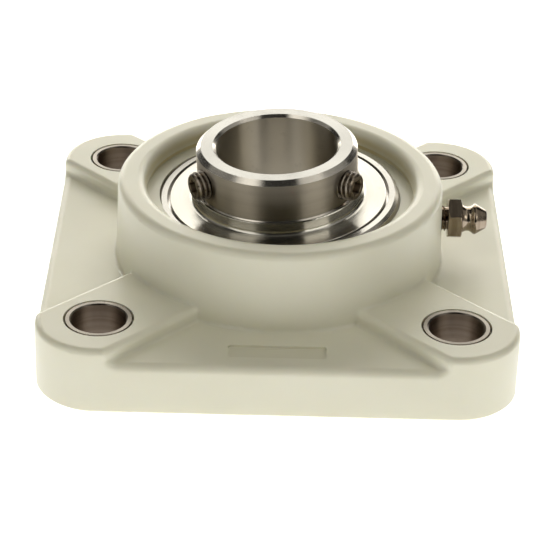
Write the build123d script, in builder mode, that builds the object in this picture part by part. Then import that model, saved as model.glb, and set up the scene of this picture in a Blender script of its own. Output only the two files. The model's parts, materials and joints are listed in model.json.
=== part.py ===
from build123d import *
from math import sqrt
import os

# Flange mount bearing: a self-aligning insert ball bearing for a 25 mm shaft, held in a
# square moulded housing with four bolt bushings and a grease nipple.
#
# Frame: +Z points from the mounting face to the front of the unit, the origin is the centre
# of the mounting face, and the grease nipple is on the +X side. All sizes are in mm.

# ---- Housing ----
flange_size = 95.0
bolt_pitch = 70.0
corner_radius = (flange_size - bolt_pitch) / 2
plate_height = 11.0
plate_edge_radius = 1.7
foot_chamfer = 0.5
web_height = 14.0
web_width = 20.4
web_start_radius = 30.0
web_edge_radius = 1.3
web_root_radius = 0.8
hub_root_radius = 0.7
hub_base_radius = 34.2
hub_top_radius = 33.3
hub_height = 28.0
hub_edge_radius = 1.6
panel_size = (19.2, 4.5)
panel_centre_y = -41.15
panel_depth = 0.5
panel_corner_radius = 0.6

# ---- Spherical seat, loading slots and end cap recess ----
seat_height = 16.0
seat_clearance = 0.06
seat_mouth_radius = 24.85
back_mouth_chamfer = 1.0
cut_margin = 1.0
slot_clearance = 0.2
recess_floor_height = 24.0
recess_floor_radius = 27.4
recess_wall_radius = 27.8
recess_edge_radius = 2.0
snap_groove_height = 1.1
snap_groove_depth = 0.25

# ---- Bolt bushings ----
bolt_hole_radius = 5.5
bushing_radius = 6.5
bushing_height = 13.95
bushing_chamfer = 0.25
bushing_gap = 0.02
bushing_relief_radius = 6.95
bushing_relief_depth = 1.6

# ---- Insert bearing, measured from the centre of its spherical outside ----
lean_angle = 3.4
lean_axis = (0.537, -0.843, 0.0)
ring_sphere_radius = 26.0
ring_half_width = 8.5
ring_edge_chamfer = 0.5
ring_land_radius = 21.9
seal_groove_radius = 23.3
seal_mouth_radius = 22.9
grease_groove_offset = 3.4
grease_groove_width = 4.0
grease_groove_depth = 0.6
grease_hole_radius = 0.9
grease_hole_azimuth = 0.0
ball_diameter = 7.938
ball_count = 9
pitch_radius = 19.52
race_radius = 0.52 * ball_diameter
race_clearance = 0.05

# ---- Inner ring ----
bore_radius = 12.5
bore_chamfer = 0.57
inner_front = 20.0
inner_back = -14.3
inner_land_radius = 16.9
inner_nose_radius = 16.48
inner_nose_start = 10.7
inner_edge_chamfer = 0.7
inner_front_chamfer = 0.95

# ---- Flingers ----
flinger_radius = 22.3
flinger_thickness = 0.5
flinger_neck_length = 2.6
flinger_bend_radius = 0.9
flinger_edge_radius = 0.15
flinger_lip_radius = 0.2
flinger_fit = 0.02

# ---- Seals: a dished steel shield with a rubber lip on its bore ----
seal_inner_face = 6.0
seal_outer_face = 7.2
seal_gap = 0.1
shield_thickness = 0.5
shield_rim_width = 0.6
shield_dish_radius = 21.0
shield_dish_slope = 0.5
shield_dish_shift = 0.2
shield_bore_radius = 17.9
shield_bend_radius = 0.08
lip_clearance = 0.06
lip_root_width = 0.3
lip_edge_width = 0.2

# ---- Cage ----
cage_sheet = 0.7
cage_outer_radius = 21.3
cage_inner_radius = 17.5
pocket_clearance = 0.15
rivet_radius = 0.55
rivet_fit = 0.02
rivet_head_radius = 0.95
rivet_head_height = 0.45

# ---- Set screws, M6 fine thread with hexagon socket and cup point ----
screw_radius = 3.0
screw_clearance = 0.05
screw_length = 6.0
screw_inset = 5.0
screw_proud = 2.6
screw_chamfer = 0.5
socket_flats = 3.0
socket_depth = 3.0
cup_radius = 1.5
cup_depth = 0.8
cup_taper = 50
screw_azimuths = {"set_screw_right": -32.5, "set_screw_left": -152.5}

# ---- Grease nipple, along +X ----
nipple_height = 19.4
nipple_face = 33.5
thread_radius = 2.75
thread_hole_radius = 2.8
thread_start = 29.3
thread_chamfer = 0.4
nipple_hole_depth = 0.3
hex_start = 34.8
hex_length = 2.9
hex_flats = 7.7
hex_bevel = 0.35
hex_turn = 29.5
collar_radius = 2.85
collar_slope = (0.6, -1)
neck_radius = 2.5
neck_position = 39.0
head_radius = 3.2
head_position = 40.4
head_slope = (1, 0.2)
tip_radius = 1.9
tip_position = 42.9
tip_wall = 0.5
passage_radius = 1.35
valve_hole_radius = 0.75
check_ball_radius = 1.2
check_ball_gap = 0.05
spring_wire_radius = 0.18
spring_radius = 1.0
spring_coils = 9
spring_inset = 0.6
grease_drill_radius = 1.5

# ---- Frames worked out from the sizes above ----
seat_radius = ring_sphere_radius + seat_clearance
seat_mouth_offset = sqrt(seat_radius**2 - seat_mouth_radius**2)
bolt_places = GridLocations(bolt_pitch, bolt_pitch, 2, 2)
bearing_place = Location((0, 0, seat_height), lean_axis, lean_angle)
bearing_plane = Plane(bearing_place)
bearing_section = Plane(bearing_place * Plane.XZ.location)
bearing_axis = Axis(bearing_plane.origin, bearing_plane.z_dir)
ring_face_radius = sqrt(ring_sphere_radius**2 - ring_half_width**2) - ring_edge_chamfer
ring_edge_radius = sqrt(ring_sphere_radius**2 - (ring_half_width - ring_edge_chamfer) ** 2)
outer_race_radius = pitch_radius + ball_diameter / 2 + race_clearance
inner_race_radius = pitch_radius - ball_diameter / 2 - race_clearance
pocket_radius = ball_diameter / 2 + pocket_clearance
screw_height = inner_front - screw_inset
hex_end = hex_start + hex_length
valve_seat_end = tip_position - tip_wall
valve_seat_start = valve_seat_end - (passage_radius - valve_hole_radius)
ball_position = valve_seat_start + passage_radius - sqrt(2) * (check_ball_radius + check_ball_gap)
spring_back = (thread_start + spring_inset, 0, nipple_height)
spring_length = ball_position - check_ball_radius - spring_back[0]
spring_pitch = spring_length / spring_coils
nipple_section = Plane((0, 0, nipple_height), x_dir=(1, 0, 0), z_dir=(0, -1, 0))
nipple_axis = Axis((0, 0, nipple_height), (1, 0, 0))

os.makedirs("parts", exist_ok=True)


def outward_plane(azimuth, height, radius):
    """Plane on the bearing whose normal points away from its axis."""
    turn = Location((0, 0, height), (0, 0, azimuth))
    return Plane(bearing_place * turn * Location((radius, 0, 0), (0, 90, 0)))


def outside_web_start(edge):
    """True for an edge whose middle lies beyond the hidden inner ends of the webs."""
    middle = edge @ 0.5
    return middle.X**2 + middle.Y**2 > (web_start_radius + 1) ** 2


def runs_diagonally(edge):
    """True for a straight edge at 45 degrees to the plate's sides."""
    direction = edge % 0.5
    return abs(abs(direction.X) - abs(direction.Y)) < 0.01


def above_plate(edge):
    """True for an edge on or above the plate's top face."""
    return (edge @ 0.5).Z > plate_height - 0.01


def nipple_plane(distance):
    """Plane across the nipple's axis, its normal along +X."""
    return Plane((distance, 0, nipple_height), x_dir=(0, 1, 0), z_dir=(1, 0, 0))


# ======== Housing ========
with BuildPart() as housing:
    with BuildSketch():
        RectangleRounded(flange_size, flange_size, corner_radius)
    extrude(amount=plate_height)
    # Four diagonal webs carry the corner bosses
    with BuildSketch():
        Rectangle(2 * flange_size, web_width, rotation=45)
        Rectangle(2 * flange_size, web_width, rotation=-45)
        RectangleRounded(flange_size, flange_size, corner_radius, mode=Mode.INTERSECT)
        Circle(web_start_radius, mode=Mode.SUBTRACT)
    extrude(amount=web_height)
    web_outline = housing.edges().group_by(Axis.Z)[-1]
    fillet(web_outline.filter_by(outside_web_start), web_edge_radius)
    plate_top = housing.edges().filter_by_position(Axis.Z, plate_height, plate_height)
    fillet(plate_top.filter_by(GeomType.LINE).filter_by(runs_diagonally), web_root_radius)
    plate_top = housing.edges().filter_by_position(Axis.Z, plate_height, plate_height)
    fillet(plate_top.filter_by(Axis.X) + plate_top.filter_by(Axis.Y), plate_edge_radius)
    # Round hub, blended into the plate and the webs
    with BuildSketch(Plane.XZ):
        with BuildLine():
            Polyline(
                (0, foot_chamfer),
                (hub_base_radius, foot_chamfer),
                (hub_top_radius, hub_height),
                (0, hub_height),
                close=True,
            )
        make_face()
    revolve(axis=Axis.Z)
    fillet(housing.edges(Select.NEW).filter_by(above_plate), hub_root_radius)
    fillet(housing.edges().group_by(Axis.Z)[-1], hub_edge_radius)
    chamfer(housing.faces().sort_by(Axis.Z)[0].outer_wire().edges(), foot_chamfer)
    # Spherical seat with its two mouths, and the recess for an end cap
    with BuildSketch(Plane.XZ):
        with BuildLine():
            Polyline(
                (0, -cut_margin),
                (seat_mouth_radius + back_mouth_chamfer + cut_margin, -cut_margin),
                (seat_mouth_radius, back_mouth_chamfer),
                (seat_mouth_radius, seat_height - seat_mouth_offset),
            )
            ThreePointArc(
                (seat_mouth_radius, seat_height - seat_mouth_offset),
                (seat_radius, seat_height),
                (seat_mouth_radius, seat_height + seat_mouth_offset),
            )
            Polyline(
                (seat_mouth_radius, seat_height + seat_mouth_offset),
                (seat_mouth_radius, recess_floor_height),
                (recess_floor_radius + snap_groove_depth, recess_floor_height),
                (recess_floor_radius + snap_groove_depth, recess_floor_height + snap_groove_height),
                (recess_floor_radius, recess_floor_height + snap_groove_height),
                (recess_wall_radius, hub_height),
                (0, hub_height),
                (0, -cut_margin),
            )
        make_face()
    revolve(axis=Axis.Z, mode=Mode.SUBTRACT)
    rim = housing.edges().group_by(Axis.Z)[-1].sort_by(SortBy.RADIUS)[0]
    fillet(rim, recess_edge_radius)
    # Slots that let the insert bearing in, turned on edge, from the back
    with BuildSketch():
        Circle(seat_radius + slot_clearance / 2)
        Rectangle(2 * ring_half_width + slot_clearance, flange_size, mode=Mode.INTERSECT)
    extrude(amount=seat_height, mode=Mode.SUBTRACT)
    # Bolt bushing holes, relieved at the front
    with bolt_places:
        Hole(bushing_radius + bushing_gap)
    with BuildSketch(Plane.XY.offset(web_height - bushing_relief_depth)):
        with bolt_places:
            Circle(bushing_relief_radius)
    extrude(amount=bushing_relief_depth, mode=Mode.SUBTRACT)
    # Blank label panel in the front valley
    with BuildSketch(Plane.XY.offset(plate_height - panel_depth)):
        with Locations((0, panel_centre_y)):
            RectangleRounded(*panel_size, panel_corner_radius)
    extrude(amount=panel_depth, mode=Mode.SUBTRACT)
    # Tapped hole for the nipple and the grease drilling to the seat
    with BuildSketch(nipple_plane(thread_start - nipple_hole_depth)):
        Circle(thread_hole_radius)
    extrude(amount=flange_size / 2, mode=Mode.SUBTRACT)
    with BuildSketch(nipple_plane(ring_sphere_radius / 2)):
        Circle(grease_drill_radius)
    extrude(amount=thread_start - ring_sphere_radius / 2, mode=Mode.SUBTRACT)

housing.part.label = "housing"
export_step(housing.part, "parts/housing.step")


# ======== Bolt bushings ========
bushing_names = {
    "bolt_bushing_front_left": (-1, -1),
    "bolt_bushing_front_right": (1, -1),
    "bolt_bushing_back_left": (-1, 1),
    "bolt_bushing_back_right": (1, 1),
}
for name, (side_x, side_y) in bushing_names.items():
    with BuildPart() as bushing:
        with BuildSketch():
            with Locations((side_x * bolt_pitch / 2, side_y * bolt_pitch / 2)):
                Circle(bushing_radius)
                Circle(bolt_hole_radius, mode=Mode.SUBTRACT)
        extrude(amount=bushing_height)
        end_faces = bushing.faces().filter_by(Axis.Z)
        mouths = [face.inner_wires()[0].edges() for face in end_faces]
        chamfer(mouths[0] + mouths[1], bushing_chamfer)
    bushing.part.label = name
    export_step(bushing.part, f"parts/{name}.step")


# ======== Grease nipple ========
with BuildPart() as nipple_body:
    with BuildSketch(nipple_section):
        with BuildLine():
            Polyline(
                (thread_start, 0),
                (thread_start, thread_radius - thread_chamfer),
                (thread_start + thread_chamfer, thread_radius),
                (hex_end, thread_radius),
                (hex_end, collar_radius),
            )
            Spline(
                (hex_end, collar_radius),
                (neck_position, neck_radius),
                (head_position, head_radius),
                tangents=(collar_slope, head_slope),
            )
            Polyline(
                (head_position, head_radius),
                (tip_position, tip_radius),
                (tip_position, 0),
                (thread_start, 0),
            )
        make_face()
    revolve(axis=nipple_axis)
    with BuildSketch(nipple_plane(hex_start)):
        RegularPolygon(hex_flats / 2, 6, major_radius=False, rotation=hex_turn)
    extrude(amount=hex_length)
    # The hexagon's corners are turned down to a cone at both ends
    with BuildSketch(nipple_section):
        with BuildLine():
            Polyline(
                (thread_start, 0),
                (thread_start, hex_flats / 2),
                (hex_start, hex_flats / 2),
                (hex_start + hex_bevel, hex_flats),
                (hex_end - hex_bevel, hex_flats),
                (hex_end, hex_flats / 2),
                (tip_position, hex_flats / 2),
                (tip_position, 0),
                close=True,
            )
        make_face()
    revolve(axis=nipple_axis, mode=Mode.INTERSECT)
    # Passage for grease, narrowed at the tip to seat the check ball
    with BuildSketch(nipple_section):
        with BuildLine():
            Polyline(
                (thread_start, 0),
                (thread_start, passage_radius),
                (valve_seat_start, passage_radius),
                (valve_seat_end, valve_hole_radius),
                (tip_position, valve_hole_radius),
                (tip_position, 0),
                close=True,
            )
        make_face()
    revolve(axis=nipple_axis, mode=Mode.SUBTRACT)

nipple_body.part.label = "nipple_body"
export_step(nipple_body.part, "parts/nipple_body.step")

with BuildPart() as nipple_check_ball:
    with Locations((ball_position, 0, nipple_height)):
        Sphere(check_ball_radius)

nipple_check_ball.part.label = "nipple_check_ball"
export_step(nipple_check_ball.part, "parts/nipple_check_ball.step")

with BuildPart() as nipple_spring:
    with BuildLine() as coil:
        Helix(spring_pitch, spring_length, spring_radius, center=spring_back, direction=(1, 0, 0))
    with BuildSketch(Plane(coil.line @ 0, z_dir=coil.line % 0)):
        Circle(spring_wire_radius)
    sweep()

nipple_spring.part.label = "nipple_spring"
export_step(nipple_spring.part, "parts/nipple_spring.step")


# ======== Outer ring ========
with BuildPart() as outer_ring:
    with BuildSketch(bearing_section):
        with BuildLine():
            Polyline(
                (ring_face_radius, -ring_half_width),
                (seal_mouth_radius, -ring_half_width),
                (seal_mouth_radius, -seal_outer_face),
                (seal_groove_radius, -seal_outer_face),
                (seal_groove_radius, -seal_inner_face),
                (ring_land_radius, -seal_inner_face),
                (ring_land_radius, seal_inner_face),
                (seal_groove_radius, seal_inner_face),
                (seal_groove_radius, seal_outer_face),
                (seal_mouth_radius, seal_outer_face),
                (seal_mouth_radius, ring_half_width),
                (ring_face_radius, ring_half_width),
                (ring_edge_radius, ring_half_width - ring_edge_chamfer),
            )
            ThreePointArc(
                (ring_edge_radius, ring_half_width - ring_edge_chamfer),
                (ring_sphere_radius, 0),
                (ring_edge_radius, ring_edge_chamfer - ring_half_width),
            )
            Line(
                (ring_edge_radius, ring_edge_chamfer - ring_half_width),
                (ring_face_radius, -ring_half_width),
            )
        make_face()
    revolve(axis=bearing_axis)
    # Raceway
    with BuildSketch(bearing_section):
        with Locations((outer_race_radius - race_radius, 0)):
            Circle(race_radius)
    revolve(axis=bearing_axis, mode=Mode.SUBTRACT)
    # Grease groove round the outside and its hole
    with BuildSketch(bearing_section):
        with Locations((ring_sphere_radius, grease_groove_offset)):
            Rectangle(2 * grease_groove_depth, grease_groove_width)
    revolve(axis=bearing_axis, mode=Mode.SUBTRACT)
    with BuildSketch(outward_plane(grease_hole_azimuth, grease_groove_offset, 0)):
        Circle(grease_hole_radius)
    extrude(amount=ring_sphere_radius + cut_margin, mode=Mode.SUBTRACT)

outer_ring.part.label = "outer_ring"
export_step(outer_ring.part, "parts/outer_ring.step")


# ======== Seals, one behind each face of the outer ring ========
for side, sign in (("front", 1), ("back", -1)):
    rim_radius = seal_groove_radius - seal_gap
    rim_back = sign * (seal_inner_face + seal_gap)
    rim_face = sign * (seal_outer_face - seal_gap)
    rim_inner_face = sign * (seal_outer_face - seal_gap - shield_thickness)
    disc_back = sign * seal_inner_face
    disc_face = sign * (seal_inner_face + shield_thickness)
    dish_foot = shield_dish_radius - shield_dish_slope
    with BuildPart() as seal_shield:
        with BuildSketch(bearing_section):
            with BuildLine():
                FilletPolyline(
                    (rim_radius, rim_back),
                    (rim_radius, rim_face),
                    (shield_dish_radius, rim_face),
                    (dish_foot, disc_face),
                    (shield_bore_radius, disc_face),
                    (shield_bore_radius, disc_back),
                    (dish_foot + shield_dish_shift, disc_back),
                    (shield_dish_radius + shield_dish_shift, rim_inner_face),
                    (rim_radius - shield_rim_width, rim_inner_face),
                    (rim_radius - shield_rim_width, rim_back),
                    radius=shield_bend_radius,
                    close=True,
                )
            make_face()
        revolve(axis=bearing_axis)
    seal_shield.part.label = f"seal_shield_{side}"
    export_step(seal_shield.part, f"parts/seal_shield_{side}.step")

    # The lip runs out to a thin edge just clear of the inner ring
    edge_radius = inner_land_radius + lip_clearance
    with BuildPart() as seal_lip:
        with BuildSketch(bearing_section):
            with BuildLine():
                Polyline(
                    (shield_bore_radius, disc_back),
                    (shield_bore_radius, disc_face),
                    (edge_radius + lip_root_width + lip_edge_width, disc_face),
                    (edge_radius + lip_edge_width, rim_face),
                    (edge_radius, rim_face - sign * seal_gap),
                    (edge_radius + lip_root_width, disc_back),
                    close=True,
                )
            make_face()
        revolve(axis=bearing_axis)
    seal_lip.part.label = f"seal_lip_{side}"
    export_step(seal_lip.part, f"parts/seal_lip_{side}.step")


# ======== Inner ring, extended at the front for the set screws ========
with BuildPart() as inner_ring:
    with BuildSketch(bearing_section):
        with BuildLine():
            Polyline(
                (bore_radius, inner_back + bore_chamfer),
                (bore_radius + bore_chamfer, inner_back),
                (inner_land_radius - inner_edge_chamfer, inner_back),
                (inner_land_radius, inner_back + inner_edge_chamfer),
                (inner_land_radius, inner_nose_start),
                (inner_nose_radius, inner_nose_start + inner_land_radius - inner_nose_radius),
                (inner_nose_radius, inner_front - inner_front_chamfer),
                (inner_nose_radius - inner_front_chamfer, inner_front),
                (bore_radius + bore_chamfer, inner_front),
                (bore_radius, inner_front - bore_chamfer),
                close=True,
            )
        make_face()
    revolve(axis=bearing_axis)
    # Raceway
    with BuildSketch(bearing_section):
        with Locations((inner_race_radius + race_radius, 0)):
            Circle(race_radius)
    revolve(axis=bearing_axis, mode=Mode.SUBTRACT)
    # Tapped holes for the set screws
    for azimuth in screw_azimuths.values():
        with BuildSketch(outward_plane(azimuth, screw_height, bore_radius / 2)):
            Circle(screw_radius + screw_clearance)
        extrude(amount=bore_radius, mode=Mode.SUBTRACT)

inner_ring.part.label = "inner_ring"
export_step(inner_ring.part, "parts/inner_ring.step")


# ======== Flingers, pressed on the inner ring outside each seal ========
for side, sign in (("front", 1), ("back", -1)):
    disc_face = sign * ring_half_width
    disc_back = sign * (ring_half_width - flinger_thickness)
    neck_end = sign * (ring_half_width + flinger_neck_length)
    neck_inside = inner_land_radius + flinger_fit
    neck_outside = neck_inside + flinger_thickness
    with BuildPart() as flinger:
        with BuildSketch(bearing_section):
            with BuildLine():
                FilletPolyline(
                    (neck_inside, disc_back),
                    (flinger_radius, disc_back),
                    (flinger_radius, disc_face),
                    (neck_outside, disc_face),
                    (neck_outside, neck_end),
                    (neck_inside, neck_end),
                    radius=(
                        flinger_bend_radius / 2,
                        flinger_edge_radius,
                        flinger_edge_radius,
                        flinger_bend_radius,
                        flinger_lip_radius,
                        flinger_edge_radius,
                    ),
                    close=True,
                )
            make_face()
        revolve(axis=bearing_axis)
    flinger.part.label = f"flinger_{side}"
    export_step(flinger.part, f"parts/flinger_{side}.step")


# ======== Balls and riveted cage ========
for number in range(ball_count):
    azimuth = number * 360 / ball_count
    with BuildPart() as ball:
        with Locations(outward_plane(azimuth, 0, pitch_radius)):
            Sphere(ball_diameter / 2)
    ball.part.label = f"ball_{number + 1}"
    export_step(ball.part, f"parts/ball_{number + 1}.step")

for side, sign in (("front", 1), ("back", -1)):
    with BuildPart(bearing_plane) as cage_half:
        with PolarLocations(pitch_radius, ball_count):
            Sphere(pocket_radius + cage_sheet)
        with BuildSketch(bearing_plane):
            Circle(cage_outer_radius)
        extrude(amount=sign * cage_sheet)
        with BuildSketch(bearing_plane):
            Circle(cage_outer_radius)
            Circle(cage_inner_radius, mode=Mode.SUBTRACT)
        extrude(amount=sign * 2 * pocket_radius, mode=Mode.INTERSECT)
        with PolarLocations(pitch_radius, ball_count):
            Sphere(pocket_radius, mode=Mode.SUBTRACT)
        with PolarLocations(pitch_radius, ball_count, start_angle=180 / ball_count):
            Cylinder(rivet_radius, 4 * cage_sheet, mode=Mode.SUBTRACT)
    cage_half.part.label = f"cage_half_{side}"
    export_step(cage_half.part, f"parts/cage_half_{side}.step")

head_middle = cage_sheet + rivet_head_height / 2
with BuildPart(bearing_plane) as cage_rivets:
    with PolarLocations(pitch_radius, ball_count, start_angle=180 / ball_count):
        Cylinder(rivet_radius - rivet_fit, 2 * cage_sheet)
        with Locations((0, 0, head_middle), (0, 0, -head_middle)):
            Cylinder(rivet_head_radius, rivet_head_height)

cage_rivets.part.label = "cage_rivets"
export_step(cage_rivets.part, "parts/cage_rivets.step")


# ======== Set screws ========
for name, azimuth in screw_azimuths.items():
    head_plane = outward_plane(azimuth, screw_height, inner_nose_radius + screw_proud)
    with BuildPart() as set_screw:
        with BuildSketch(head_plane):
            Circle(screw_radius)
        extrude(amount=-screw_length)
        chamfer(set_screw.edges().filter_by(GeomType.CIRCLE), screw_chamfer)
        with BuildSketch(head_plane):
            RegularPolygon(socket_flats / 2, 6, major_radius=False)
        extrude(amount=-socket_depth, mode=Mode.SUBTRACT)
        with BuildSketch(head_plane.offset(-screw_length)):
            Circle(cup_radius)
        extrude(amount=cup_depth, taper=cup_taper, mode=Mode.SUBTRACT)
    set_screw.part.label = name
    export_step(set_screw.part, f"parts/{name}.step")
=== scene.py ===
import json
from math import ceil, cos, floor, pi, radians, sin

import bmesh
import bpy
from mathutils import Matrix, Vector


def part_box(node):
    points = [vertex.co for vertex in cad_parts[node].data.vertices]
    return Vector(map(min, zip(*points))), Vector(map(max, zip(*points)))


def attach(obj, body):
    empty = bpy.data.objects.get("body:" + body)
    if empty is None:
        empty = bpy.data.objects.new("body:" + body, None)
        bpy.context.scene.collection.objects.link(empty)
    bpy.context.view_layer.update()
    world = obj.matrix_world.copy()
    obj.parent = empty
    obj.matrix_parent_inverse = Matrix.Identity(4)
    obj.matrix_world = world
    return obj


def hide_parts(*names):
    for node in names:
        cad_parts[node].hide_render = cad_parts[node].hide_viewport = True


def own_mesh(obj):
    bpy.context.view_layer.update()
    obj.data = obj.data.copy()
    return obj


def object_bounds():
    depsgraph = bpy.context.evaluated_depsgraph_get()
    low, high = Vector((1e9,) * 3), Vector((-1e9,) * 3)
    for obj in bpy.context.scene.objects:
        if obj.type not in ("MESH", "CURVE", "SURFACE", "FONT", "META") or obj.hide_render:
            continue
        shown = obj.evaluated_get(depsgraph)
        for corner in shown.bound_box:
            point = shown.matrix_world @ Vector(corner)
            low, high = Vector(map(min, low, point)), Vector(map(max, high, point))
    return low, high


# A square flange bearing unit: moulded housing, steel bushings, insert bearing, nipple.
# Lengths are in metres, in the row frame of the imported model: +Z out of the mounting face.

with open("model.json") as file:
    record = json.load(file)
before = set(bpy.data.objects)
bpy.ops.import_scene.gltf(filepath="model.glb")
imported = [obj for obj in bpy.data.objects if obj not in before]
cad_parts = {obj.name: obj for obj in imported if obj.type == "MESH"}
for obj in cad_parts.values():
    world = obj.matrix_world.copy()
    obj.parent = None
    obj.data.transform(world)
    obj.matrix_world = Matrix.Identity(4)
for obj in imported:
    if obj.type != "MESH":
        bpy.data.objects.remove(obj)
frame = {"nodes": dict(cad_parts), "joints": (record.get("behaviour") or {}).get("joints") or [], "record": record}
cad_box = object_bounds()
MM = 0.001
UP = Vector((0, 0, 1))


# ---------------------------------------------------------------- camera, floor and light

SENSOR_WIDTH = 36.0
LENS = 149.8
AZIMUTH, ELEVATION, ROLL = radians(-0.351), radians(29.51), radians(1.61)
DISTANCE, CLIP_START = 0.46125, 0.01
TARGET = Vector((-0.7, -18.0, 15.0)) * MM

FLOOR_SIZE = 0.8
FLOOR_GLOW = 0.93
FLOOR_COLOUR, FLOOR_ROUGH, FLOOR_GLOSS = (0.9, 0.9, 0.9, 1), 0.9, 0.1
BACKDROP = 1.3
BOX_COLOUR = (1.0, 0.97, 0.885, 1)

# Light boxes round the object: azimuth of the middle from the front (+ to the right), half
# width, lowest and highest elevation, all in degrees, and brightness. BOX_EDGE is the half
# width of their soft edges, in degrees.
BOXES = {
    "back_low": (180, 31, -5, 26, 4.2),
    "back_middle": (180, 31, 26, 36, 1.9),
    "back_high": (180, 31, 36, 50, 2.6),
    "right_high": (110, 40, 50, 66, 0.7),
    "front_left": (-52, 18, 20, 66, 1.55),
    "front_right": (52, 18, 20, 38, 2.7),
    "front_right_high": (52, 18, 38, 66, 0.75),
    "front_left_low": (-52, 18, -5, 20, 0.25),
    "front_right_low": (52, 18, -5, 20, 0.35),
    "left_low": (-90, 20, -5, 24, 0.4),
    "left_middle": (-95, 28, 24, 50, 0.25),
    "right_middle": (95, 28, 24, 50, 0.35),
    "top": (0, 200, 66, 95, 0.15),
}
BOX_EDGE = 1.8


def wire(tree, values, sockets):
    """Sets each socket to its number, or links it where the value is an outlet."""
    for value, socket in zip(values, sockets):
        if isinstance(value, (int, float)):
            socket.default_value = value
        else:
            tree.links.new(value, socket)


def math_node(tree, operation, first, second=0.0):
    """Outlet of a math node over numbers or outlets."""
    node = tree.nodes.new("ShaderNodeMath")
    node.operation = operation
    wire(tree, (first, second), node.inputs)
    return node.outputs["Value"]


def add_camera():
    back = Vector((sin(AZIMUTH) * cos(ELEVATION), -cos(AZIMUTH) * cos(ELEVATION), sin(ELEVATION)))
    right = Vector((cos(AZIMUTH), sin(AZIMUTH), 0))
    up = back.cross(right)
    turned_right = right * cos(ROLL) + up * sin(ROLL)
    turned_up = up * cos(ROLL) - right * sin(ROLL)
    data = bpy.data.cameras.new("camera")
    data.lens = LENS
    data.sensor_width = SENSOR_WIDTH
    data.clip_start = CLIP_START
    camera = bpy.data.objects.new("camera", data)
    bpy.context.scene.collection.objects.link(camera)
    axes = Matrix((turned_right, turned_up, back)).transposed().to_4x4()
    camera.matrix_world = Matrix.Translation(TARGET + back * DISTANCE) @ axes
    bpy.context.scene.camera = camera


def add_floor():
    """Plain pale floor that glows a little, as paper lit from behind does."""
    mesh = bpy.data.meshes.new("floor")
    half = FLOOR_SIZE / 2
    z = cad_box[0].z
    corners = [(-half, -half, z), (half, -half, z), (half, half, z), (-half, half, z)]
    mesh.from_pydata(corners, [], [(0, 1, 2, 3)])
    paper = bpy.data.objects.new("floor", mesh)
    bpy.context.scene.collection.objects.link(paper)
    material = bpy.data.materials.new("floor_white")
    material.use_nodes = True
    shader = material.node_tree.nodes["Principled BSDF"]
    shader.inputs["Base Color"].default_value = FLOOR_COLOUR
    shader.inputs["Roughness"].default_value = FLOOR_ROUGH
    shader.inputs["Specular IOR Level"].default_value = FLOOR_GLOSS
    shader.inputs["Emission Color"].default_value = (1, 1, 1, 1)
    shader.inputs["Emission Strength"].default_value = FLOOR_GLOW
    mesh.materials.append(material)


def add_light():
    """Soft light boxes in a dark room, with a pale backdrop behind the object for the camera."""
    world = bpy.data.worlds.new("studio")
    bpy.context.scene.world = world
    world.use_nodes = True
    tree = world.node_tree
    nodes, links = tree.nodes, tree.links
    nodes.clear()

    def math(operation, first, second=0.0):
        return math_node(tree, operation, first, second)

    def rise(value, middle):
        """From 0 to 1 as an angle passes the middle, in degrees."""
        node = nodes.new("ShaderNodeMapRange")
        node.interpolation_type = "SMOOTHSTEP"
        links.new(value, node.inputs["Value"])
        node.inputs["From Min"].default_value = radians(middle - BOX_EDGE)
        node.inputs["From Max"].default_value = radians(middle + BOX_EDGE)
        return node.outputs["Result"]

    def window(direction, azimuth, half_width, low, high):
        turn = nodes.new("ShaderNodeVectorRotate")
        turn.rotation_type = "Z_AXIS"
        turn.inputs["Angle"].default_value = -radians(azimuth)
        links.new(direction, turn.inputs["Vector"])
        parts = nodes.new("ShaderNodeSeparateXYZ")
        links.new(turn.outputs["Vector"], parts.inputs["Vector"])
        sideways = math("ARCTAN2", parts.outputs["X"], math("MULTIPLY", parts.outputs["Y"], -1))
        within = math("SUBTRACT", 1.0, rise(math("ABSOLUTE", sideways), half_width))
        height = math("ARCSINE", parts.outputs["Z"])
        between = math("SUBTRACT", rise(height, low), rise(height, high))
        return math("MULTIPLY", within, between)

    direction = nodes.new("ShaderNodeTexCoord").outputs["Generated"]
    total = 0.0
    for name, (azimuth, half_width, low, high, brightness) in BOXES.items():
        box = math("MULTIPLY", window(direction, azimuth, half_width, low, high), brightness)
        box.node.name = name
        total = math("ADD", box, total)
    seen = nodes.new("ShaderNodeLightPath").outputs["Is Camera Ray"]
    strength = math("MAXIMUM", math("MULTIPLY", seen, BACKDROP), total)
    background = nodes.new("ShaderNodeBackground")
    background.inputs["Color"].default_value = BOX_COLOUR
    links.new(strength, background.inputs["Strength"])
    output = nodes.new("ShaderNodeOutputWorld")
    links.new(background.outputs["Background"], output.inputs["Surface"])


add_camera()
add_floor()
add_light()
bpy.context.scene.view_settings.view_transform = "Standard"


# ---------------------------------------------------------------- material building blocks

QUARTER_TURN = 0.25


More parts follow.
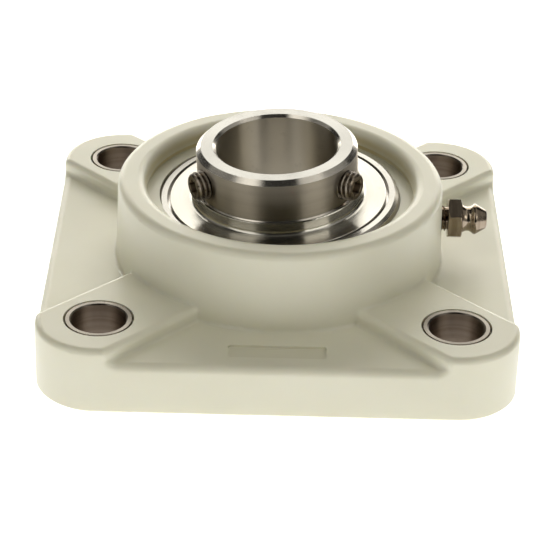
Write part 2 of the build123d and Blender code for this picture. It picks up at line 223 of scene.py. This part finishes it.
class Finish:
    """A node material in the making, with a short call for each kind of node."""

    def __init__(self, name):
        self.material = bpy.data.materials.new(name)
        self.material.use_nodes = True
        self.tree = self.material.node_tree
        self.nodes, self.links = self.tree.nodes, self.tree.links
        self.shader = self.nodes["Principled BSDF"]
        self.place = self.nodes.new("ShaderNodeTexCoord").outputs["Object"]

    def set(self, **values):
        """Sets sockets of the shader; an underscore stands for a space."""
        for name, value in values.items():
            self.shader.inputs[name.replace("_", " ")].default_value = value

    def feed(self, socket, name):
        self.links.new(socket, self.shader.inputs[name])

    def noise(self, feature, detail=3.0, rough=0.55, place=None):
        """Noise whose lumps are about one feature length across, from 0 to 1."""
        node = self.nodes.new("ShaderNodeTexNoise")
        node.inputs["Scale"].default_value = 1.0 / feature
        node.inputs["Detail"].default_value = detail
        node.inputs["Roughness"].default_value = rough
        self.links.new(place or self.place, node.inputs["Vector"])
        return node.outputs["Fac"]

    def span(self, value, low, high, to_low=0.0, to_high=1.0):
        """Maps low..high of a value to to_low..to_high, held at the ends."""
        node = self.nodes.new("ShaderNodeMapRange")
        limits = {"From Min": low, "From Max": high, "To Min": to_low, "To Max": to_high}
        for name, number in limits.items():
            node.inputs[name].default_value = number
        self.links.new(value, node.inputs["Value"])
        return node.outputs["Result"]

    def math(self, operation, first, second=0.0):
        return math_node(self.tree, operation, first, second)

    def tint(self, factor, first, second):
        """Colour from first to second as the factor goes from 0 to 1."""
        node = self.nodes.new("ShaderNodeMix")
        node.data_type = "RGBA"
        self.links.new(factor, node.inputs[0])
        for value, socket in ((first, node.inputs[6]), (second, node.inputs[7])):
            if isinstance(value, tuple):
                socket.default_value = (*value, 1)
            else:
                self.links.new(value, socket)
        return node.outputs[2]

    def bump(self, height, depth, strength=1.0, under=None):
        """Relief of the given depth in metres; returns the bent normal."""
        node = self.nodes.new("ShaderNodeBump")
        node.inputs["Strength"].default_value = strength
        node.inputs["Distance"].default_value = depth
        self.links.new(height, node.inputs["Height"])
        if under is not None:
            self.links.new(under, node.inputs["Normal"])
        return node.outputs["Normal"]

    def stretched(self, size):
        """The position, scaled by a factor along each axis."""
        node = self.nodes.new("ShaderNodeMapping")
        node.inputs["Scale"].default_value = size
        self.links.new(self.place, node.inputs["Vector"])
        return node.outputs["Vector"]

    def vector(self, operation, first, second=None):
        node = self.nodes.new("ShaderNodeVectorMath")
        node.operation = operation
        for value, socket in zip((first, second), node.inputs):
            if isinstance(value, (tuple, Vector)):
                socket.default_value = value
            elif value is not None:
                self.links.new(value, socket)
        return node.outputs["Value"] if operation == "DOT_PRODUCT" else node.outputs["Vector"]

    def about(self, origin, axis, folded=False):
        """Cylinder coordinates round an axis: outlets for radius, angle and height.
        Folded, the four quarters of the plan each turn round their own copy of the axis."""
        if folded:
            reach = self.vector("SUBTRACT", self.vector("ABSOLUTE", self.place), origin)
            self.offset = self.vector("MULTIPLY", reach, self.vector("SIGN", self.place))
        else:
            self.offset = self.vector("SUBTRACT", self.place, origin)
        self.axis = Vector(axis)
        upright = self.nodes.new("ShaderNodeVectorRotate")
        upright.rotation_type = "EULER_XYZ"
        upright.inputs["Rotation"].default_value = self.axis.rotation_difference(UP).to_euler()
        self.links.new(self.offset, upright.inputs["Vector"])
        parts = self.nodes.new("ShaderNodeSeparateXYZ")
        self.links.new(upright.outputs["Vector"], parts.inputs["Vector"])
        x, y, height = (parts.outputs[name] for name in "XYZ")
        square = self.math("ADD", self.math("MULTIPLY", x, x), self.math("MULTIPLY", y, y))
        return self.math("SQRT", square), self.math("ARCTAN2", y, x), height

    def groove(self, strength):
        """Fine marks round the axis: gloss spreads across them, along the axis or the radius."""
        turn = self.nodes.new("ShaderNodeVectorTransform")
        turn.vector_type, turn.convert_from, turn.convert_to = "VECTOR", "OBJECT", "WORLD"
        self.links.new(self.vector("CROSS_PRODUCT", self.axis, self.offset), turn.inputs["Vector"])
        self.feed(turn.outputs["Vector"], "Tangent")
        self.set(Anisotropic=strength, Anisotropic_Rotation=QUARTER_TURN)

    def joined(self, x, y, z):
        node = self.nodes.new("ShaderNodeCombineXYZ")
        wire(self.tree, (x, y, z), node.inputs)
        return node.outputs["Vector"]


def paint(material, *names):
    """Gives a material to CAD nodes, by name."""
    for name in names:
        mesh = frame["nodes"][name].data
        mesh.materials.clear()
        mesh.materials.append(material)


# ---------------------------------------------------------------- materials

# The third cream is the colour of the specks and of the painted shade on the label panel.
CREAM, CREAM_PALE, CREAM_DULL_AND_PANEL_SHADE = (0.765, 0.75, 0.61), (0.795, 0.78, 0.645), (0.68, 0.66, 0.52)
# Painted shade: the olive brown laid on the wall of the cap recess.
CREAM_RECESS_SHADE = (0.64, 0.56, 0.30)
RUBBER, RUBBER_BLOOM = (0.014, 0.014, 0.015), (0.03, 0.03, 0.031)
PANEL_CENTRE_Y, PANEL_HALF, PANEL_BLUR = -41.15 * MM, (9.6 * MM, 2.25 * MM), 0.5 * MM
RECESS_RADIUS, RECESS_FLOOR, RECESS_TOP = 27.8 * MM, 24.0 * MM, 27.4 * MM
# Where the painted shade on the recess wall begins and ends, outwards and upwards
RECESS_SHADE_FROM_RADIUS = RECESS_RADIUS - 0.5 * MM, RECESS_RADIUS - 0.2 * MM
RECESS_SHADE_TO_RADIUS = RECESS_RADIUS + 1.0 * MM, RECESS_RADIUS + 1.8 * MM
RECESS_SHADE_FROM_HEIGHT = RECESS_FLOOR, RECESS_FLOOR + 0.3 * MM
RECESS_SHADE_TO_HEIGHT = RECESS_TOP - 1.4 * MM, RECESS_TOP


def moulded_plastic():
    """Cream thermoplastic with a fine mould grain, faint clouds and a few scuffs. The label panel
    is darkened with painted shade, and the wall of the cap recess is darkened and browned with painted shade."""
    finish = Finish("cream_thermoplastic")
    parts = finish.nodes.new("ShaderNodeSeparateXYZ")
    from_panel = finish.vector("SUBTRACT", finish.place, (0, PANEL_CENTRE_Y, 0))
    finish.links.new(from_panel, parts.inputs["Vector"])
    inside = [finish.span(finish.math("ABSOLUTE", parts.outputs[name]), half - PANEL_BLUR, half, 1.0, 0.0)
              for name, half in zip("XY", PANEL_HALF)]
    panel_shade = finish.math("MULTIPLY", *inside)
    cloud = finish.noise(16 * MM, detail=2.0)
    speck = finish.noise(0.9 * MM, detail=4.0, rough=0.7)
    colour = finish.tint(finish.span(cloud, 0.3, 0.7), CREAM, CREAM_PALE)
    colour = finish.tint(finish.span(speck, 0.68, 0.82, 0.0, 0.4), colour, CREAM_DULL_AND_PANEL_SHADE)
    # Painted shade: the label panel is darkened.
    colour = finish.tint(finish.math("MULTIPLY", panel_shade, 0.6), colour, CREAM_DULL_AND_PANEL_SHADE)
    radius, _, height = finish.about(Vector((0, 0, 0)), UP)
    # Painted shade on the lower wall of the cap recess, fading out towards the top and made patchy by the clouds.
    wall = finish.math("MULTIPLY", finish.span(radius, *RECESS_SHADE_FROM_RADIUS),
                       finish.span(radius, *RECESS_SHADE_TO_RADIUS, 1.0, 0.0))
    low_wall = finish.math("MULTIPLY", finish.span(height, *RECESS_SHADE_FROM_HEIGHT),
                           finish.span(height, *RECESS_SHADE_TO_HEIGHT, 1.0, 0.0))
    oil_and_shade = finish.math("MULTIPLY", finish.math("MULTIPLY", wall, low_wall),
                      finish.span(cloud, 0.35, 0.6, 0.55, 1.0))
    finish.feed(finish.tint(oil_and_shade, colour, CREAM_RECESS_SHADE), "Base Color")
    drawn_out = finish.stretched((0.15, 1.0, 0.6))
    scuff = finish.span(finish.noise(1.0 * MM, detail=5.0, place=drawn_out), 0.62, 0.72)
    gloss = finish.span(finish.noise(6 * MM, detail=5.0), 0.3, 0.7, 0.30, 0.40)
    finish.feed(finish.math("ADD", gloss, finish.math("MULTIPLY", scuff, 0.12)), "Roughness")
    grain = finish.bump(finish.noise(0.22 * MM, detail=2.0), 0.003 * MM, 0.6)
    peel = finish.bump(finish.noise(2.2 * MM, detail=2.0), 0.014 * MM, 0.6, under=grain)
    finish.feed(peel, "Normal")
    finish.set(Subsurface_Weight=0.15, Subsurface_Radius=(0.004, 0.003, 0.0015), Subsurface_Scale=0.5)
    finish.set(IOR=1.45)
    return finish.material

# How square to the axis a face is, from 0 to 1, where its finish begins and is complete
CHAMFER_FACING, END_FACING = (0.45, 0.60), (0.80, 0.95)
MARK_WANDER, BORE_EDGE = 0.3 * MM, 0.3 * MM


def turned_metal(name, origin, axis, light, dark, rough, mark=0.10 * MM, depth=0.0010 * MM,
                 folded=False, end=None, edge=None, bore=None, groove=0.0):
    """Turned or ground metal with fine marks round the axis.
    end is the colour and roughness of faces square to the axis, edge that of its 45 degree
    chamfers, and bore the radius, colour and roughness of a hole. groove is how far the gloss
    spreads across the marks, and folded is as in Finish.about."""
    finish = Finish(name)
    radius, angle, height = finish.about(origin, axis, folded)
    wander = finish.math("MULTIPLY", finish.math("SINE", angle), MARK_WANDER)
    round_marks = finish.joined(radius, wander, height)
    fine = finish.noise(mark, detail=3.0, rough=0.7, place=round_marks)
    bands = finish.noise(1.1 * MM, detail=3.0, place=round_marks)
    cloud = finish.noise(5 * MM, detail=4.0)
    stain = finish.noise(2.4 * MM, detail=5.0, rough=0.65)
    colour = finish.tint(finish.span(bands, 0.35, 0.65), dark, light)
    gloss = finish.span(fine, 0.3, 0.7, rough - 0.03, rough + 0.05)
    if bore is not None:
        bore_radius, bore_colour, bore_rough = bore
        inside = finish.span(radius, bore_radius, bore_radius + BORE_EDGE, 1.0, 0.0)
        colour = finish.tint(inside, colour, bore_colour)
        gloss = finish.math("ADD", gloss, finish.math("MULTIPLY", inside, bore_rough - rough))
    normal = finish.nodes.new("ShaderNodeNewGeometry").outputs["Normal"]
    facing = finish.math("ABSOLUTE", finish.vector("DOT_PRODUCT", normal, axis))
    for face, limits in ((edge, CHAMFER_FACING), (end, END_FACING)):
        if face is not None:
            face_colour, face_rough = face
            here = finish.span(facing, *limits)
            colour = finish.tint(here, colour, face_colour)
            elsewhere = finish.math("SUBTRACT", 1.0, here)
            gloss = finish.math("ADD", finish.math("MULTIPLY", gloss, elsewhere),
                                finish.math("MULTIPLY", here, face_rough))
    colour = finish.tint(finish.span(stain, 0.58, 0.80, 0.0, 0.35), colour, tuple(0.6 * c for c in dark))
    finish.feed(colour, "Base Color")
    finish.feed(finish.math("ADD", gloss, finish.span(cloud, 0.3, 0.7, -0.03, 0.04)), "Roughness")
    pits = finish.bump(finish.noise(0.16 * MM, detail=3.0, rough=0.7), depth * 0.8)
    finish.feed(finish.bump(fine, depth, under=pits), "Normal")
    finish.set(Metallic=1.0)
    if groove:
        finish.groove(groove)
    return finish.material


def plain_metal(name, light, dark, rough, feature=1.2 * MM, depth=0.0015 * MM):
    """Pressed, drawn or rolled metal, with soft clouds and small dents."""
    finish = Finish(name)
    cloud = finish.noise(feature, detail=5.0, rough=0.6)
    finish.feed(finish.tint(finish.span(cloud, 0.35, 0.65), dark, light), "Base Color")
    haze = finish.noise(feature * 2, detail=4.0)
    finish.feed(finish.span(haze, 0.3, 0.7, rough - 0.05, rough + 0.06), "Roughness")
    finish.feed(finish.bump(finish.noise(feature / 5, detail=3.0), depth), "Normal")
    finish.set(Metallic=1.0)
    return finish.material


def nitrile_rubber():
    """Black rubber with a faint bloom."""
    finish = Finish("black_nitrile")
    bloom = finish.noise(2.5 * MM, detail=5.0, rough=0.6)
    finish.feed(finish.tint(finish.span(bloom, 0.4, 0.7), RUBBER, RUBBER_BLOOM), "Base Color")
    finish.feed(finish.span(bloom, 0.3, 0.7, 0.42, 0.58), "Roughness")
    finish.feed(finish.bump(finish.noise(0.12 * MM, detail=3.0), 0.003 * MM), "Normal")
    return finish.material


# The socket's colour is painted light, lighter than the steel round it.
SOCKET_FLATS, SOCKET_PAINTED_LIGHT = 3.0 * MM, (0.46, 0.38, 0.29)
SOCKET_CORNER = SOCKET_FLATS * 0.59  # just outside the corners of the socket's hexagon


def threaded_steel(name, origin, axis, crest, root, light, dark, rough):
    """Rolled thread with patchy oil: painted highlight along the crests, painted shade in the roots, and a dull
    broached socket lightened with painted light.
    """
    finish = Finish(name)
    radius, _, _ = finish.about(origin, axis)
    oil_and_shade = finish.noise(0.5 * MM, detail=4.0, rough=0.65)
    # Painted highlight towards the crests and painted shade towards the roots, made patchy by the oil.
    crest_highlight_and_root_shade = finish.math("ADD", finish.span(radius, root, crest), finish.span(oil_and_shade, 0.3, 0.7, -0.25, 0.25))
    colour = finish.tint(finish.span(crest_highlight_and_root_shade, 0.1, 0.9), dark, light)
    # Painted light: the socket walls are lightened, as if light reached into the socket.
    socket = finish.span(radius, SOCKET_FLATS / 2, SOCKET_CORNER, 1.0, 0.0)
    finish.feed(finish.tint(socket, colour, SOCKET_PAINTED_LIGHT), "Base Color")
    gloss = finish.span(oil_and_shade, 0.3, 0.7, rough - 0.08, rough + 0.10)
    finish.feed(finish.math("ADD", gloss, finish.math("MULTIPLY", socket, 0.3)), "Roughness")
    finish.feed(finish.bump(finish.noise(0.15 * MM, detail=3.0, rough=0.7), 0.004 * MM), "Normal")
    finish.set(Metallic=1.0)
    return finish.material


# ---------------------------------------------------------------- mesh building blocks

MERGE_DISTANCE = 0.0005 * MM
CREASE = radians(35)
THREAD_STEPS = 14  # rings for each turn of a thread
THREAD_ROOT, THREAD_FLANK = 0.25, 0.62  # shares of half a turn


def skin(name, rings, material, body, start=None, end=None):
    """Closed skin over rings of points. start and end are the points that close its ends; a skin
    without them has a last ring that meets its first one."""
    shell = bmesh.new()
    rows = [[shell.verts.new(point) for point in ring] for ring in rings]
    count = len(rings[0])
    for row, after in zip(rows, rows[1:]):
        for i in range(count):
            j = (i + 1) % count
            shell.faces.new((row[i], row[j], after[j], after[i]))
    for row, tip in ((rows[0], start), (rows[-1], end)):
        if tip is not None:
            peak = shell.verts.new(tip)
            for i in range(count):
                shell.faces.new((row[i], row[(i + 1) % count], peak))
    bmesh.ops.remove_doubles(shell, verts=shell.verts, dist=MERGE_DISTANCE)
    bmesh.ops.dissolve_degenerate(shell, edges=shell.edges, dist=MERGE_DISTANCE)
    bmesh.ops.recalc_face_normals(shell, faces=shell.faces)
    mesh = bpy.data.meshes.new(name)
    shell.to_mesh(mesh)
    shell.free()
    mesh.shade_smooth()
    mesh.set_sharp_from_angle(angle=CREASE)
    mesh.materials.append(material)
    piece = bpy.data.objects.new(name, mesh)
    bpy.context.scene.collection.objects.link(piece)
    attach(piece, body)
    return piece


def middle_of(name):
    """Centre of a node's box."""
    low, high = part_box(name)
    return (low + high) / 2


def bend(start, corner, end, steps=6):
    """Points of a smooth curve from start to end that leaves and arrives along the corner's sides."""
    points = []
    for step in range(steps + 1):
        t = step / steps
        weights = ((1 - t) ** 2, 2 * t * (1 - t), t ** 2)
        points.append(tuple(sum(w * p[axis] for w, p in zip(weights, (start, corner, end)))
                            for axis in (0, 1)))
    return points


def axes_of(direction):
    """Two directions square to the given one, and the direction itself."""
    w = Vector(direction).normalized()
    u = w.cross(UP).normalized()
    return u, w.cross(u), w


def thread_radius(turns, crest, depth):
    """Radius of a 60 degree thread at a number of turns along it: flat root, flank, flat crest."""
    phase = abs((turns - floor(turns)) * 2 - 1)
    flank = min(max((phase - THREAD_ROOT) / THREAD_FLANK, 0.0), 1.0)
    return crest - depth * (1 - flank)


def hexagon_radius(angle, flats):
    """Distance from the middle of a hexagon to its outline, with a corner at angle 0."""
    sixth = pi / 3
    return flats / 2 / cos(angle % sixth - sixth / 2)


# ---------------------------------------------------------------- set screws

SCREW_LENGTH, SCREW_CREST = 6.0 * MM, 3.0 * MM
SCREW_PITCH, SCREW_THREAD_DEPTH = 1.0 * MM, 0.55 * MM
SCREW_END_CHAMFER = 0.55 * MM
SOCKET_DEPTH, SOCKET_BEVEL = 3.0 * MM, 0.1 * MM
CUP_RADIUS, CUP_DEPTH = 1.5 * MM, 0.8 * MM
SCREW_COLUMNS = 60


def make_set_screw(name, material):
    """Threaded set screw with a hexagon socket at the outer end and a cup point."""
    centre = middle_of(name)
    inward = Vector(joint_of[name + "_travel"]["axis"])
    u, v, w = axes_of(-inward)

    def ring(radius_at, height_at):
        points = []
        for i in range(SCREW_COLUMNS):
            angle = 2 * pi * i / SCREW_COLUMNS
            height = height_at(angle)
            outward = u * cos(angle) + v * sin(angle)
            along = w * (height - SCREW_LENGTH / 2)
            points.append(centre + outward * radius_at(angle, height) + along)
        return points

    def side(angle, height):
        turns = height / SCREW_PITCH - angle / (2 * pi)
        ends = min(height, SCREW_LENGTH - height)
        cone = SCREW_CREST - SCREW_END_CHAMFER + ends
        return min(thread_radius(turns, SCREW_CREST, SCREW_THREAD_DEPTH), cone)

    def socket(wider=0.0):
        return lambda angle, height: hexagon_radius(angle, SOCKET_FLATS) + wider

    rings = [
        ring(lambda angle, height: CUP_RADIUS * 0.5, lambda angle: CUP_DEPTH / 2),
        ring(lambda angle, height: CUP_RADIUS, lambda angle: 0.0),
    ]
    steps = ceil(SCREW_LENGTH / SCREW_PITCH * THREAD_STEPS)
    for step in range(steps + 1):
        rings.append(ring(side, lambda angle, s=step: SCREW_LENGTH * s / steps))
    mouth = SCREW_LENGTH - SOCKET_BEVEL
    floor_height = SCREW_LENGTH - SOCKET_DEPTH
    rings.append(ring(socket(SOCKET_BEVEL), lambda angle: SCREW_LENGTH))
    rings.append(ring(socket(), lambda angle: mouth))
    rings.append(ring(socket(), lambda angle: floor_height))
    cup_tip = centre + w * (CUP_DEPTH - SCREW_LENGTH / 2)
    socket_tip = centre + w * (floor_height - SOCKET_FLATS / 6 - SCREW_LENGTH / 2)
    piece = skin(name + "_threaded", rings, material, name, start=cup_tip, end=socket_tip)
    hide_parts(name)


# ---------------------------------------------------------------- grease nipple

NIPPLE_COLUMNS = 96
NIPPLE_PITCH, NIPPLE_CREST, NIPPLE_THREAD_DEPTH = 0.75 * MM, 2.75 * MM, 0.42 * MM
HEX_BACK, HEX_LENGTH, HEX_FLATS, HEX_TURN = 5.5 * MM, 2.9 * MM, 7.7 * MM, radians(29.5)
HEX_ROUND, HEX_BEVEL_SLOPE = 3.86 * MM, 1.8
HEX_BEVEL_RINGS, HEX_BEVEL_STEP = 13, 0.04 * MM
UNDERCUT_RADIUS, UNDERCUT_LENGTH, UNDERCUT_STEP = 2.3 * MM, 0.45 * MM, 0.1 * MM
TIP_LENGTH, PASSAGE_RADIUS, TIP_HOLE_RADIUS = 13.6 * MM, 1.35 * MM, 0.75 * MM
TIP_WALL = 0.5 * MM
# Distance from the back and radius, both in mm: collar, neck, crown, cone and tip
HEAD_PROFILE = (
    (8.40, 2.85),
    *bend((8.55, 2.95), (9.75, 2.05), (10.65, 2.95)),
    *bend((10.65, 2.95), (11.08, 3.365), (11.50, 3.08)),
    *bend((13.25, 2.02), (13.58, 1.82), (13.60, 1.62)),
)


def make_nipple(material):
    """Straight grease nipple: thread, undercut, hexagon with turned corners, neck and conical head."""
    back = middle_of("nipple_body")
    back.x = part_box("nipple_body")[0].x

    def ring(distance, radius_at):
        points = []
        for i in range(NIPPLE_COLUMNS):
            angle = 2 * pi * i / NIPPLE_COLUMNS
            radius = radius_at(angle)
            points.append(back + Vector((distance, cos(angle) * radius, sin(angle) * radius)))
        return points

    def thread(distance):
        entry = NIPPLE_CREST - NIPPLE_THREAD_DEPTH + distance

        def radius_at(angle):
            turns = distance / NIPPLE_PITCH - angle / (2 * pi)
            return min(thread_radius(turns, NIPPLE_CREST, NIPPLE_THREAD_DEPTH), entry)
        return radius_at

    def hexagon(distance):
        into = min(distance - HEX_BACK, HEX_BACK + HEX_LENGTH - distance)
        cone = HEX_ROUND + into * HEX_BEVEL_SLOPE
        return lambda angle: min(hexagon_radius(angle - HEX_TURN, HEX_FLATS), cone)

    def lathe(radius):
        return lambda angle: radius

    passage_end = TIP_LENGTH - TIP_WALL
    rings = [
        ring(passage_end, lathe(TIP_HOLE_RADIUS)),
        ring(passage_end - (PASSAGE_RADIUS - TIP_HOLE_RADIUS), lathe(PASSAGE_RADIUS)),
        ring(0, lathe(PASSAGE_RADIUS)),
    ]
    thread_end = HEX_BACK - UNDERCUT_LENGTH
    steps = ceil(thread_end / NIPPLE_PITCH * THREAD_STEPS)
    for step in range(steps + 1):
        distance = thread_end * step / steps
        rings.append(ring(distance, thread(distance)))
    rings.append(ring(thread_end + UNDERCUT_STEP, lathe(UNDERCUT_RADIUS)))
    rings.append(ring(HEX_BACK, lathe(UNDERCUT_RADIUS)))
    bevel = [HEX_BEVEL_STEP * i for i in range(HEX_BEVEL_RINGS)]
    hex_front = HEX_BACK + HEX_LENGTH
    for distance in [HEX_BACK + b for b in bevel] + [hex_front - b for b in reversed(bevel)]:
        rings.append(ring(distance, hexagon(distance)))
    for distance, radius in HEAD_PROFILE:
        rings.append(ring(distance * MM, lathe(radius * MM)))
    rings.append(ring(TIP_LENGTH, lathe(TIP_HOLE_RADIUS)))
    rings.append(rings[0])
    piece = skin("nipple_body_turned", rings, material, "housing")
    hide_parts("nipple_body")


# ---------------------------------------------------------------- nipple spring

SPRING_WIRE, SPRING_COILS = 0.18 * MM, 9
SPRING_STEPS, SPRING_COLUMNS = 24, 10


def make_spring(material):
    """Compression spring behind the check ball."""
    low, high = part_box("nipple_spring")
    middle = middle_of("nipple_spring")
    back = Vector((low.x, middle.y, middle.z))
    length = high.x - low.x
    coil_radius = (high.z - low.z) / 2 - SPRING_WIRE
    pitch = (length - 2 * SPRING_WIRE) / SPRING_COILS

    def wire_centre(angle):
        along = SPRING_WIRE + pitch * angle / (2 * pi)
        return back + Vector((along, coil_radius * cos(angle), coil_radius * sin(angle)))

    def ring(angle):
        outward = Vector((0, cos(angle), sin(angle)))
        forward = Vector((pitch / (2 * pi), -coil_radius * sin(angle), coil_radius * cos(angle))).normalized()
        sideways = forward.cross(outward)
        turns = [2 * pi * i / SPRING_COLUMNS for i in range(SPRING_COLUMNS)]
        return [wire_centre(angle) + (outward * cos(t) + sideways * sin(t)) * SPRING_WIRE for t in turns]

    last = 2 * pi * SPRING_COILS
    count = SPRING_COILS * SPRING_STEPS
    rings = [ring(last * step / count) for step in range(count + 1)]
    piece = skin("nipple_spring_coil", rings, material, "housing",
                 start=wire_centre(0), end=wire_centre(last))
    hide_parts("nipple_spring")
    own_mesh(piece)


# ---------------------------------------------------------------- the object

joint_of = {joint["name"]: joint for joint in frame["joints"]}
BEARING_CENTRE = Vector(joint_of["shaft_spin"]["pos_m"])
BEARING_AXIS = Vector(joint_of["shaft_spin"]["axis"])
bushings = sorted(name for name in frame["nodes"] if name.startswith("bolt_bushing"))
balls = sorted(name for name in frame["nodes"] if name.startswith("ball_"))
screws = ("set_screw_left", "set_screw_right")

mounts = {mount["name"]: mount for mount in frame["record"]["mounts"]}
SHAFT_RADIUS = mounts["shaft_bore"]["dims"]["r_mm"] * MM
corner = middle_of("bolt_bushing_back_right")
BOLT_AXIS = Vector((corner.x, corner.y, 0))

paint(moulded_plastic(), "housing")
paint(turned_metal("ground_ring_steel", BEARING_CENTRE, BEARING_AXIS,
                   light=(0.445, 0.40, 0.335), dark=(0.415, 0.375, 0.31), rough=0.44,
                   end=((0.33, 0.325, 0.31), 0.20), edge=((0.60, 0.57, 0.52), 0.20),
                   bore=(SHAFT_RADIUS + 0.1 * MM, (0.56, 0.52, 0.44), 0.34), groove=1.0),
      "inner_ring")
paint(turned_metal("ground_outer_ring_steel", BEARING_CENTRE, BEARING_AXIS,
                   light=(0.45, 0.42, 0.37), dark=(0.38, 0.35, 0.30), rough=0.30,
                   end=((0.43, 0.42, 0.395), 0.20), edge=((0.45, 0.43, 0.39), 0.20), groove=1.0),
      "outer_ring")
paint(turned_metal("polished_flinger_steel", BEARING_CENTRE, BEARING_AXIS,
                   light=(0.53, 0.515, 0.475), dark=(0.50, 0.485, 0.445), rough=0.17,
                   depth=0.0003 * MM, groove=1.0),
      "flinger_front", "flinger_back")
paint(turned_metal("pressed_shield_steel", BEARING_CENTRE, BEARING_AXIS,
                   light=(0.60, 0.58, 0.55), dark=(0.52, 0.50, 0.47), rough=0.24),
      "seal_shield_front", "seal_shield_back")
# Painted shade: the bushings' chamfers are darkened almost to black, as the chamfer into each bore lies in shade.
paint(turned_metal("turned_bushing_steel", BOLT_AXIS, UP,
                   light=(0.40, 0.33, 0.265), dark=(0.28, 0.23, 0.185), rough=0.34,
                   mark=0.16 * MM, depth=0.003 * MM, folded=True,
                   end=((0.195, 0.178, 0.155), 0.28), edge=((0.12, 0.105, 0.09), 0.35), groove=0.9),
      *bushings)
paint(nitrile_rubber(), "seal_lip_front", "seal_lip_back")
paint(plain_metal("polished_ball_steel", light=(0.66, 0.655, 0.645), dark=(0.60, 0.595, 0.585),
                  rough=0.08, depth=0.0002 * MM),
      *balls, "nipple_check_ball")
make_spring(plain_metal("drawn_spring_steel", light=(0.50, 0.49, 0.47), dark=(0.38, 0.37, 0.35),
                        rough=0.26))
paint(plain_metal("pressed_cage_steel", light=(0.52, 0.51, 0.49), dark=(0.44, 0.43, 0.41),
                  rough=0.30),
      "cage_half_front", "cage_half_back", "cage_rivets")

for screw in screws:
    # Painted light and shade: the light colour is the highlight on the thread crests, the dark one the shade in
    # the roots.
    steel = threaded_steel("rolled_" + screw, middle_of(screw), joint_of[screw + "_travel"]["axis"],
                           crest=SCREW_CREST, root=SCREW_CREST - SCREW_THREAD_DEPTH,
                           light=(0.40, 0.355, 0.30), dark=(0.12, 0.095, 0.07), rough=0.30)
    make_set_screw(screw, steel)
NIPPLE_AXIS_POINT = Vector((0, 0, middle_of("nipple_body").z))
make_nipple(turned_metal("plated_nipple_steel", NIPPLE_AXIS_POINT, Vector((1, 0, 0)),
                         light=(0.36, 0.30, 0.235), dark=(0.25, 0.20, 0.15), rough=0.17,
                         mark=0.14 * MM))
